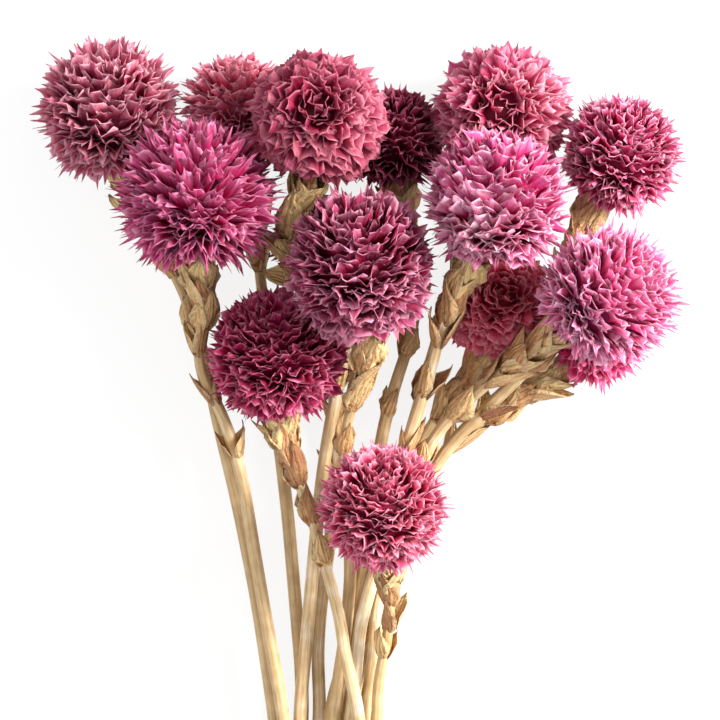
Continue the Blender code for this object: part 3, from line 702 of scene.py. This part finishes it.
# How a scale's width, edge and cup vary. The rims say how far its columns reach, from a side to the
# middle: on a pointed scale, and what bluntness adds.
WIDTH_STRAY = 0.10
BLUNT_STRAY = 0.25
BLUNT_LIMITS = (-0.2, 1.6)
FRAY_STRAY = 0.09
POINTING = 0.35
POINTED_RIM = (0.56, 0.70, 0.86, 1)
BLUNT_RIM = (0.14, 0.09, -0.02, 0)
RIM_STRAY = (0.09, 0.09, 0.04, 0.06, 0.04, 0.09, 0.09)
DEEPEST_CUP = 1.05
BLUNT_CUP = 0.6
CUP_STRAY = 0.25
BRACT_RIPPLES = (0.10, 0.35)
TWIST_STRAY = 0.40
WHOLE_TURN = (0, 6.28)
CROWN_SHARES = (0.5, 1.0)
SCALE_GRAIN = (2.7, 9, 0)
GRAIN_STEP = (0, 0, 3.7)

# How far a scale leans towards the flower's tip, in degrees, at its root and at its own end: for one
# that is shut, and for one that is wide open. Each is given at these angles from the flower's tip.
LEAN_PLACES = (0, 30, 60, 90, 120, 150)
SHUT_LEANS = (10, 42, 72, 82, 82, 82), (0, 10, 28, 44, 38, 24)
WIDE_LEANS = (0, 5, 0, -5, 0, 10), (45, -5, -60, -70, -45, -10)

# The looks of each head: its deep colour, for its veins, its points and the low parts of its scales, which
# darkened is the painted shade of its depths; its own colour, its faded rims, and the colour of the side
# that has faded most, with where that side is and how far it has faded. Then how fine its scales are, how
# open they stand, how blunt they are, how flat they lie on the faded side, and how far their tips stand
# out, in shares of the radius.
HEAD_LOOKS = {
    "01": ("cc4c78", "d8849c", "f4ccd8", "d498ac", (0.3, -0.10, 1.0), 0.6, 0.88, 0.05, 0.75, 0.6, 1.20),
    "02": ("c7175b", "d84890", "f4b8d8", "e4a0cc", (-0.1, -0.45, 0.9), 0.6, 1.35, 0.00, 0.5, 0.4, 1.24),
    "03": ("e04c74", "ec8ca8", "fcd8e4", "ecacb8", (0.0, 0.6, 0.8), 0.7, 1.10, 0.05, 0.3, 0.0, 1.13),
    "04": ("a82048", "ac3c60", "e898ac", "cc7090", (0.4, 0.5, 0.8), 0.6, 0.80, 1.00, 0.9, 0.0, 1.13),
    "05": ("780d2d", "a02c58", "d88aa4", "b04c70", (0.0, 0.3, 1.0), 0.3, 1.00, 0.10, 0.2, 0.0, 1.13),
    "06": ("c83062", "d86494", "fcc8d6", "f8b4c8", (0.5, 0.2, 0.8), 0.8, 0.90, 0.85, 0.5, 0.0, 1.16),
    "07": ("d01b6a", "e05ca8", "fcd8ea", "fce8f2", (-0.35, -0.50, 0.8), 1.0, 0.92, 0.00, 0.8, 1.2, 1.11),
    "08": ("c41c5c", "e05898", "fcd4e6", "f09cc0", (0.7, 0.3, 0.7), 0.8, 1.30, 0.10, 0.6, 0.0, 1.07),
    "09": ("b01c48", "b84478", "f0b8d0", "d890b4", (0.1, -0.3, 1.0), 0.7, 1.00, 0.10, 1.1, 0.0, 1.13),
    "10": ("b41450", "cc3074", "f4acc8", "dc6494", (0.1, -0.1, 1.0), 0.5, 1.30, 0.10, 1.0, 0.0, 1.14),
    "11": ("d02c60", "e8749c", "fcd4e4", "f8b4cc", (0.5, -0.3, 0.8), 0.7, 1.35, 0.10, 0.8, 0.0, 1.08),
    "12": ("dc3458", "dc6480", "f4b0bc", "dc788e", (0.0, 0.3, 1.0), 0.4, 0.95, 0.85, 1.0, 0.0, 1.12),
    "13": ("e44890", "f49ccc", "fce0f0", "ecc8dc", (-0.6, -0.4, 0.7), 0.9, 1.25, 0.00, 0.7, 1.0, 1.14),
    "14": ("f04c98", "f078b0", "fcc8de", "f090bc", (0.0, -0.5, 0.9), 0.5, 0.95, 0.05, 0.2, 0.0, 1.12),
    "15": ("a2284c", "c47490", "e8b4c4", "d898a8", (0.0, 0.3, 1.0), 0.5, 1.00, 0.05, 0.2, 0.0, 1.12),
}


def around_tip(flower, swing, polar):
    """Directions from a head's middle, by their angles round the flower's tip and away from it."""
    apex = np.array(flower.apex)
    first = np.array(flower.apex.orthogonal().normalized())
    second = np.cross(apex, first)
    around = np.cos(swing)[:, None] * first + np.sin(swing)[:, None] * second
    return np.cos(polar)[:, None] * apex + np.sin(polar)[:, None] * around


def core_in_shade(flower, skin, chance):
    """The core of a head, which shows only deep between its scales, in painted shade."""
    bpy.ops.object.select_all(action="DESELECT")
    bpy.ops.mesh.primitive_ico_sphere_add(
        subdivisions=4, radius=flower.radius * CORE_SHARE, location=flower.centre)
    made = bpy.context.object
    made.name = f"core_{flower.name}"
    bpy.ops.object.transform_apply(location=True, rotation=True, scale=True)
    for vert in made.data.vertices:
        vert.co += (vert.co - flower.centre) * chance.uniform(*CORE_STRAY)
    made.data.uv_layers[0].name = "scale"
    # Every corner sits at the root of the scale map, so the core takes the darkest painted shade.
    for corner in made.data.uv_layers[0].data:
        corner.uv = (0.5, 0.0)
    bpy.ops.object.shade_smooth()
    made.data.materials.append(skin)
    return made


for flower in FLOWERS:
    chance = np.random.default_rng(BRACT_SEED + flower.seed())
    points, faces, uvs, inner = BRACT
    share = flower.radius / COMMON_RADIUS
    *colours, faded_side, faded, fineness, opened, bluntness, flat, awn_reach = HEAD_LOOKS[flower.name]
    wanted = round(BRACTS_ON_GLOBE * share ** COUNT_POWER * fineness)
    index = np.arange(wanted)
    polar = np.arccos(1 - 2 * (index + 0.5) / wanted)
    swing = index * GOLDEN_ANGLE + chance.normal(0, PLACE_STRAY, wanted) / np.sin(polar)
    polar = np.clip(polar + chance.normal(0, PLACE_STRAY, wanted), *POLAR_LIMITS)
    near_tip = np.exp(-(polar / TIP_SPREAD) ** 2)

    apex = np.array(flower.apex)
    tips = around_tip(flower, swing, polar)
    off_side = np.arccos(np.clip(tips @ np.array(Vector(faded_side).normalized()), -1, 1))
    crown = np.exp(-(off_side / FADED_SPREAD) ** 2)
    degrees = np.degrees(polar)
    start, finish = (np.radians(
        (1 - opened) * np.interp(degrees, LEAN_PLACES, shut)
        + opened * np.interp(degrees, LEAN_PLACES, wide)) for shut, wide in zip(SHUT_LEANS, WIDE_LEANS))
    start += chance.normal(0, ROOT_STRAY, wanted)
    flattened = np.radians(FLATTENING) * flat * crown * np.clip(polar, 0, 1)
    finish += chance.normal(0, END_STRAY, wanted) + flattened
    bend = finish - start

    # Each scale is as long as it has to be for its end to come out at the reach.
    reach = flower.radius * (1 + (flower.stretch - 1) * (tips @ apex) ** 2) * awn_reach
    reach = reach * (1 - TIP_DIP * near_tip) * (LONGEST - SHORTFALL * chance.uniform(0, 1, wanted) ** 2)
    root_radius = flower.radius * ROOT_SHARE
    rise = (np.sin(start + bend) - np.sin(start)) / bend
    lean = (np.cos(start) - np.cos(start + bend)) / bend
    half = root_radius * rise
    square = rise**2 + lean**2
    length = (-half + np.sqrt(half**2 + square * (reach**2 - root_radius**2))) / square
    shift = np.arctan2(length * lean, root_radius + length * rise)
    out = around_tip(flower, swing, np.minimum(polar + shift, LAST_POLAR))
    root = np.array(flower.centre)[None, :] + out * root_radius
    along = apex[None, :] - out * (out @ apex)[:, None]
    along /= np.linalg.norm(along, axis=1, keepdims=True)
    astray = chance.normal(0, SIDE_STRAY, wanted) + chance.normal(0, SIDE_STRAY_AT_TIP, wanted) * near_tip
    along = along * np.cos(astray)[:, None] + np.cross(out, along) * np.sin(astray)[:, None]
    off_straw = np.degrees(np.arccos(np.clip(tips @ np.array(flower.to_stem), -1, 1)))
    clear = off_straw > STRAW_ROOM

    scale_size = share ** SIZE_POWER * fineness ** -0.5 * (0.75 + 0.25 * np.clip(polar / 0.6, 0, 1))
    width = BRACT_HALF_WIDTH * scale_size * (1 + chance.normal(0, WIDTH_STRAY, wanted))
    width = width * (0.90 + 0.35 * bluntness) * (1 + 0.3 * flat * crown)
    blunt = np.clip(chance.normal(bluntness, BLUNT_STRAY, wanted), *BLUNT_LIMITS)[:, None]
    fray = chance.normal(0, FRAY_STRAY, (wanted, len(points)))
    fray = fray - (1 - blunt) * POINTING * points[None, :, 1] ** 3
    rim = [pointed + more * blunt for pointed, more in zip(POINTED_RIM, BLUNT_RIM)]
    rim = np.concatenate([*rim, *rim[2::-1]], axis=1)
    rim += chance.normal(0, 1, rim.shape) * RIM_STRAY
    cup = DEEPEST_CUP - BLUNT_CUP * bluntness + chance.normal(0, CUP_STRAY, wanted)
    ripple = chance.uniform(*BRACT_RIPPLES, wanted)
    phase = chance.uniform(*WHOLE_TURN, wanted)
    twist = chance.normal(0, TWIST_STRAY, wanted)
    places = bent_scales(points, *(values[clear] for values in (
        root, out, along, length, width, start, bend, cup, ripple, phase, twist, fray, rim)))
    places[:, :, 2] = np.maximum(places[:, :, 2], FLOOR_ROOM)

    copies, size = places.shape[:2]
    tone = np.repeat(chance.uniform(0, 1, wanted)[clear], size)
    crown = np.repeat((crown * faded * chance.uniform(*CROWN_SHARES, wanted))[clear], size)
    grain = points[None] * SCALE_GRAIN + np.arange(copies)[:, None, None] * GRAIN_STEP
    head = join_scales(f"bracts_{flower.name}", places, faces, uvs, {
        "tone": tone, "crown": crown, "inner": np.tile(inner, copies), "grain": grain})
    skin = bract_paper(f"bracts_{flower.name}", *colours)
    head.data.materials.append(skin)
    select_only(head, core_in_shade(flower, skin, chance))
    bpy.ops.object.join()
    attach(head, "root")
    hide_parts(f"head_{flower.name}")

# The calyx and the sheath leaves: dry veined leaves, boat shaped, in pairs that face each other.
# Two broad ones make a pale cup under each head, and smaller ones clasp the straw at its nodes.
# They grew there, and have dried to straw yellow and brown, with rusty spots at their roots.


def leaf_skin():
    """Dry leaf: yellow with brown veins, painted shade in its pleats, a pale rim, a brown tip and rust at
    its root.
    """
    made, tree, shader, fibres = new_material("leaf_skin")
    u, v, across = scale_map(tree)
    patches = math_node(tree, "MULTIPLY_ADD", fibres["Patches"], 0.8, -0.4)
    body = colour_ramp(tree, plus(tree, painted(tree, "tone"), patches), [
        (0.0, rgb("b47c54")), (0.35, rgb("e8b47c")), (0.65, rgb("fcd698")), (0.95, rgb("ffe2a0"))])
    veins = between(tree, fibres["Streaks"], 0.36, 0.56, 0.5, 0.0)
    body = mix_colours(tree, veins, body, rgb("7c4c2a"))
    crumple = times(tree, fibres["Crumple"], 5.0)
    pleats = math_node(tree, "SINE", plus(tree, times(tree, u, 34.0), crumple))
    # Painted shade in the pleats: where the folds sink in the relief, the colour darkens.
    body = mix_colours(tree, between(tree, pleats, 0.1, 1.0, 0.0, 0.35), body, rgb("8c5834"))
    body = mix_colours(tree, between(tree, across, 0.72, 1.0, 0.0, 0.55), body, rgb("e3d1a6"))
    spots = between(tree, fibres["Crumple"], 0.52, 0.64)
    rust = times(tree, spots, between(tree, v, 0.42, 0.08))
    body = mix_colours(tree, rust, body, rgb("a8571c"))
    body = mix_colours(tree, between(tree, v, 0.80, 1.0, 0.0, 0.7), body, rgb("7a5530"))
    folds = times(tree, pleats, -0.25)
    height = plus(tree, folds, plus(tree, fibres["Streaks"], fibres["Crumple"]))
    roughness = between(tree, fibres["Streaks"], 0.3, 0.7, 0.5, 0.75)
    relief = dress(tree, shader, body, roughness, height, 0.9, 0.6 * MM)
    let_light_through(tree, shader, body, relief, 0.28)
    return made


LEAF_ROWS = (
    (0.0, 0.45), (0.12, 0.82), (0.28, 1.0), (0.45, 0.98),
    (0.62, 0.80), (0.78, 0.52), (0.90, 0.22), (1.0, 0.03))
LEAF_COLUMNS = (
    (-1, -0.75), (-0.68, -0.36), (-0.36, -0.20), (0, 0), (0.36, -0.20), (0.68, -0.36), (1, -0.75))
LEAF_WALL = 0.07
LEAF = read_template(scale_template("leaf", LEAF_ROWS, LEAF_COLUMNS), LEAF_WALL)
LEAF_SKIN = leaf_skin()
LEAF_SEED = 100
FRAY_SEED = 900
LEAF_FRAY_STRAY = 0.10
LEAF_GRAIN_STEP = 31

# The cup's leaves stand at these half turns. Two are inner ones, smaller and nearer to the head.
# A start is how far a leaf leans from straight out towards the head, at its root, and a bend is how
# much more it leans at its tip, in degrees.
CUP_SIDES = (0, 1, 0.5, 1.5)
INNER_SIDES = (0.5, 1.5)
INNER_SIZE = 0.8
INNER_RISE = 1.2 * MM
CUP_DROP = 8.0 * MM
CUP_LENGTH = 12.5 * MM
CUP_HALF_WIDTH = 4.3 * MM
CUP_ROOT_SHARE = 0.5
CUP_START = 56
CUP_BEND = 24
CUP_BEND_STRAY = 8
CUP_SIDE_STRAY = 0.2
CUP_RIPPLES = (0.08, 0.2)
CUP_TWISTS = (-0.2, 0.2)
CUP_TONES = (0.75, 1.15)

# The sheath leaves get smaller down the straw. The joints nearest to the head have a third one. The
# solids have leaves at the whole numbers only, and swing them by the same draws.
CAD_NODE_RINGS = (2, 3, 4, 5)
SHEATH_SWING = 0.5
SHEATH_LENGTH = 15.5 * MM
SHEATH_HALF_WIDTH = 4.1 * MM
SHEATH_ROOT_SHARE = 0.75
SHEATH_SIDES = (0, 1)
CROWDED_SIDES = (0, 1, 0.5)
CROWDED_ABOVE = 3
SHEATH_SIZE = 1.2
SHEATH_SHRINK = 0.12
FACING_SIZE = 0.85
SHEATH_SIDE_STRAY = 0.3
SHEATH_SIZES = (0.85, 1.15)
SHEATH_STARTS = (55, 68)
SHEATH_BENDS = (12, 45)
SHEATH_CUPS = (0.9, 1.3)
SHEATH_RIPPLES = (0.08, 0.3)
SHEATH_TWISTS = (-0.5, 0.5)
SHEATH_TONES = (0.0, 0.85)


def turned(direction, angle, axis):
    made = direction.copy()
    made.rotate(Matrix.Rotation(angle, 3, axis))
    return made


for flower in FLOWERS:
    line = LINES[flower.name]
    chance = random.Random(LEAF_SEED + flower.seed())
    turn = chance.uniform(0, math.pi)
    swing = chance.uniform(0, 2 * math.pi)
    swings = {}
    for ring in CAD_NODE_RINGS:
        swings[ring] = swing
        swing += math.pi + chance.uniform(-SHEATH_SWING, SHEATH_SWING)
    leaves = []

    drop = flower.reach(flower.to_stem) - flower.seat_distance() + CUP_DROP
    heading = line.heading(drop)
    sideways = turned(flower.to_stem.orthogonal().normalized(), turn, flower.to_stem)
    for side in CUP_SIDES:
        astray = chance.uniform(-CUP_SIDE_STRAY, CUP_SIDE_STRAY)
        out = turned(sideways, math.pi * side + astray, flower.to_stem)
        out = (out - heading * out.dot(heading)).normalized()
        inside = side in INNER_SIDES
        size = (flower.radius / COMMON_RADIUS) ** 0.5 * (INNER_SIZE if inside else 1)
        root = line.at(drop - (INNER_RISE if inside else 0)) + out * straw_radius(drop) * CUP_ROOT_SHARE
        bend = CUP_BEND + chance.uniform(-CUP_BEND_STRAY, CUP_BEND_STRAY)
        leaves.append((root, out, heading, CUP_LENGTH * size, CUP_HALF_WIDTH * size,
                       math.radians(CUP_START), math.radians(bend), 1.0,
                       chance.uniform(*CUP_RIPPLES), chance.uniform(*WAVE_STARTS),
                       chance.uniform(*CUP_TWISTS), chance.uniform(*CUP_TONES)))

    for ring, distance in zip(NODE_RINGS, line.nodes):
        heading = line.heading(distance)
        around = swings.get(ring, chance.uniform(*WHOLE_TURN))
        base = turned(heading.orthogonal().normalized(), around, heading)
        for side in CROWDED_SIDES if ring < CROWDED_ABOVE else SHEATH_SIDES:
            astray = chance.uniform(-SHEATH_SIDE_STRAY, SHEATH_SIDE_STRAY)
            out = turned(base, math.pi * side + astray, heading)
            size = (SHEATH_SIZE - SHEATH_SHRINK * ring) * (1 if side == 0 else FACING_SIZE)
            size *= chance.uniform(*SHEATH_SIZES)
            root = line.at(distance) + out * straw_radius(distance) * SHEATH_ROOT_SHARE
            leaves.append((root, out, heading, SHEATH_LENGTH * size, SHEATH_HALF_WIDTH * size,
                           math.radians(chance.uniform(*SHEATH_STARTS)),
                           math.radians(chance.uniform(*SHEATH_BENDS)),
                           chance.uniform(*SHEATH_CUPS), chance.uniform(*SHEATH_RIPPLES),
                           chance.uniform(*WAVE_STARTS), chance.uniform(*SHEATH_TWISTS),
                           chance.uniform(*SHEATH_TONES)))

    points, faces, uvs, inner = LEAF
    root, out, along, length, width, start, bend, cup, ripple, phase, twist, tone = (
        np.array(values) for values in zip(*leaves))
    fray_chance = np.random.default_rng(FRAY_SEED + flower.seed())
    fray = fray_chance.normal(0, LEAF_FRAY_STRAY, (len(leaves), len(points)))
    rim = np.ones((len(leaves), len(LEAF_COLUMNS)))
    places = bent_scales(
        points, root, out, along, length, width, start, bend, cup, ripple, phase, twist, fray, rim)
    places[:, :, 2] = np.maximum(places[:, :, 2], FLOOR_ROOM)
    copies, size = places.shape[:2]
    grain = points[None] * np.stack([width, length, 0 * width], axis=1)[:, None] / MM
    grain += np.arange(copies)[:, None, None] * GRAIN_STEP + (0, 0, flower.seed() * LEAF_GRAIN_STEP)
    leafy = join_scales(f"leaves_{flower.name}", places, faces, uvs, {
        "tone": np.repeat(tone, size), "grain": grain})
    leafy.data.materials.append(LEAF_SKIN)
    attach(leafy, "root")
    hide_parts(f"stem_{flower.name}")

# The tie: a natural twine of three twisted strands, wound three times round the straws and closed
# with a small knot on top. It is pulled tight, about a quarter of a millimetre off the outer straws.


def twine_skin():
    """Natural twine: brown fibres, paler on their ridges."""
    made, tree, shader, fibres = new_material("twine_skin")
    body = colour_ramp(tree, fibres["Streaks"], [
        (0.30, rgb("8a6a45")), (0.50, rgb("b3936a")), (0.72, rgb("d2b88e"))])
    body = mix_colours(tree, between(tree, fibres["Patches"], 0.45, 0.7, 0.0, 0.4), body, rgb("9a7850"))
    roughness = between(tree, fibres["Crumple"], 0.3, 0.7, 0.75, 0.95)
    dress(tree, shader, body, roughness, fibres["Streaks"], 0.8, 0.3 * MM)
    return made


TWINE_RADIUS = 0.9 * MM
TIE_GAP = 0.3 * MM
TIE_TURNS = 3
STEPS_PER_TURN = 120
STRANDS = 3
STRAND_RADIUS = 0.50 * MM
STRAND_SWING = 0.45 * MM
STRAND_STEP = 0.6 * MM
TWIST_LENGTH = 5.5 * MM
NEVER_AHEAD = (0, 1, 0.05)
KNOT_STEPS = 80
KNOT_HALF_WIDTH = 1.7 * MM
KNOT_HALF_LENGTH = 1.3 * MM
KNOT_HALF_HEIGHT = 0.8 * MM
KNOT_RISE = 1.3 * MM
KNOT_LOOPS = 1.1


def tie_outline(share):
    """A point round the tied straws, and the way out there. One turn for each whole share."""
    corners = []
    for height, names in TIE_ROWS:
        half = (len(names) - 1) / 2 * TIE_PITCH
        corners += [Vector((TIE_CENTRE_X + side * half, height)) for side in (-1, 1)]
    angle = 2 * math.pi * share + math.pi / 2
    out = Vector((math.cos(angle), math.sin(angle)))
    return max(corners, key=out.dot) + out * (STEM_RADIUS + TIE_GAP + TWINE_RADIUS), out


def twisted(name, route):
    """Three strands twisted round a route, made one mesh."""
    route = np.array(route)
    run = np.concatenate([[0], np.cumsum(np.linalg.norm(np.diff(route, axis=0), axis=1))])
    steps = np.linspace(0, run[-1], int(run[-1] / STRAND_STEP))
    middle = np.stack([np.interp(steps, run, route[:, axis]) for axis in range(3)], axis=1)
    ahead = np.gradient(middle, axis=0)
    ahead /= np.linalg.norm(ahead, axis=1, keepdims=True)
    side = np.cross(ahead, NEVER_AHEAD)
    side /= np.linalg.norm(side, axis=1, keepdims=True)
    other = np.cross(ahead, side)
    curve = tube_curve(name, STRAND_RADIUS, 2)
    for strand in range(STRANDS):
        turn = steps / TWIST_LENGTH * 2 * math.pi + strand * 2 * math.pi / STRANDS
        line = middle + (side * np.cos(turn)[:, None] + other * np.sin(turn)[:, None]) * STRAND_SWING
        spline = curve.splines.new("POLY")
        spline.points.add(len(line) - 1)
        spline.points.foreach_set("co", np.c_[line, np.ones(len(line))].ravel())
    made = mesh_from(name, curve)
    bpy.ops.object.shade_smooth()
    return made


winding = []
for step in range(TIE_TURNS * STEPS_PER_TURN + 1):
    share = step / STEPS_PER_TURN
    point, out = tie_outline(share)
    advance = (share / TIE_TURNS - 0.5) * (TIE_TURNS - 1) * 2 * TWINE_RADIUS
    winding.append((point.x, TIE_Y + advance, point.y))
top = max(point[2] for point in winding)
knot = []
for step in range(KNOT_STEPS + 1):
    angle = step / KNOT_STEPS * 2 * math.pi
    knot.append((
        TIE_CENTRE_X + KNOT_HALF_WIDTH * (math.sin(angle) + KNOT_LOOPS * math.sin(2 * angle)),
        TIE_Y + KNOT_HALF_LENGTH * (math.cos(angle) - KNOT_LOOPS * math.cos(2 * angle)),
        top + KNOT_RISE - KNOT_HALF_HEIGHT * math.sin(3 * angle)))
twine = twisted("twine", winding)
select_only(twine, twisted("twine_knot", knot))
bpy.ops.object.join()
grain = np.array([vert.co[:] for vert in twine.data.vertices]) / MM
set_attribute(twine.data, "grain", grain)
twine.data.materials.clear()
twine.data.materials.append(twine_skin())
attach(twine, "root")
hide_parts("tie")

# The floor is a pale board. The light is soft: a large lamp on the right, a weaker one on the left,
# and bright surroundings. The camera looks straight down at the heads.
FLOOR_SIZE = 4
FLOOR_GREY = (0.15, 0.15, 0.15, 1)
FLOOR_GLOW = 0.84
WHITE = (1, 1, 1, 1)
LAMP_TARGET = Vector((0, 0.08, 0.02))
LAMP_COLOUR = (1.0, 0.97, 0.93)
LAMPS = (("key", (0.85, 0.35, 0.60), 0.45, 34.0), ("fill", (-0.7, 0.1, 0.8), 0.9, 1.0))
CAMERA_PLACE = (0, 74 * MM, 1405 * MM)
CAMERA_LENS = 300
CAMERA_SENSOR = 36
CAMERA_FAR = 10

bpy.ops.object.select_all(action="DESELECT")
bpy.ops.mesh.primitive_plane_add(size=FLOOR_SIZE)
floor = bpy.context.object
floor.name = "floor"
floor_paint = bpy.data.materials.new("floor_paint")
floor_paint.use_nodes = True
shader = floor_paint.node_tree.nodes["Principled BSDF"]
for key, value in (("Base Color", FLOOR_GREY), ("Roughness", 0.9),
                   ("Emission Color", WHITE), ("Emission Strength", FLOOR_GLOW)):
    shader.inputs[key].default_value = value
floor.data.materials.append(floor_paint)

world = bpy.data.worlds.new("studio")
world.use_nodes = True
background = world.node_tree.nodes["Background"]
background.inputs["Color"].default_value = WHITE
background.inputs["Strength"].default_value = 1.0
bpy.context.scene.world = world
for name, place, size, watts in LAMPS:
    bpy.ops.object.light_add(type="AREA", location=place)
    lamp = bpy.context.object
    lamp.name = name
    lamp.data.size = size
    lamp.data.energy = watts
    lamp.data.color = LAMP_COLOUR
    lamp.rotation_euler = (LAMP_TARGET - Vector(place)).to_track_quat("-Z", "Y").to_euler()

bpy.ops.object.camera_add(location=CAMERA_PLACE, rotation=(0, 0, 0))
camera = bpy.context.object
camera.data.lens = CAMERA_LENS
camera.data.sensor_width = CAMERA_SENSOR
camera.data.clip_end = CAMERA_FAR
bpy.context.scene.camera = camera
bpy.context.scene.view_settings.view_transform = "Standard"
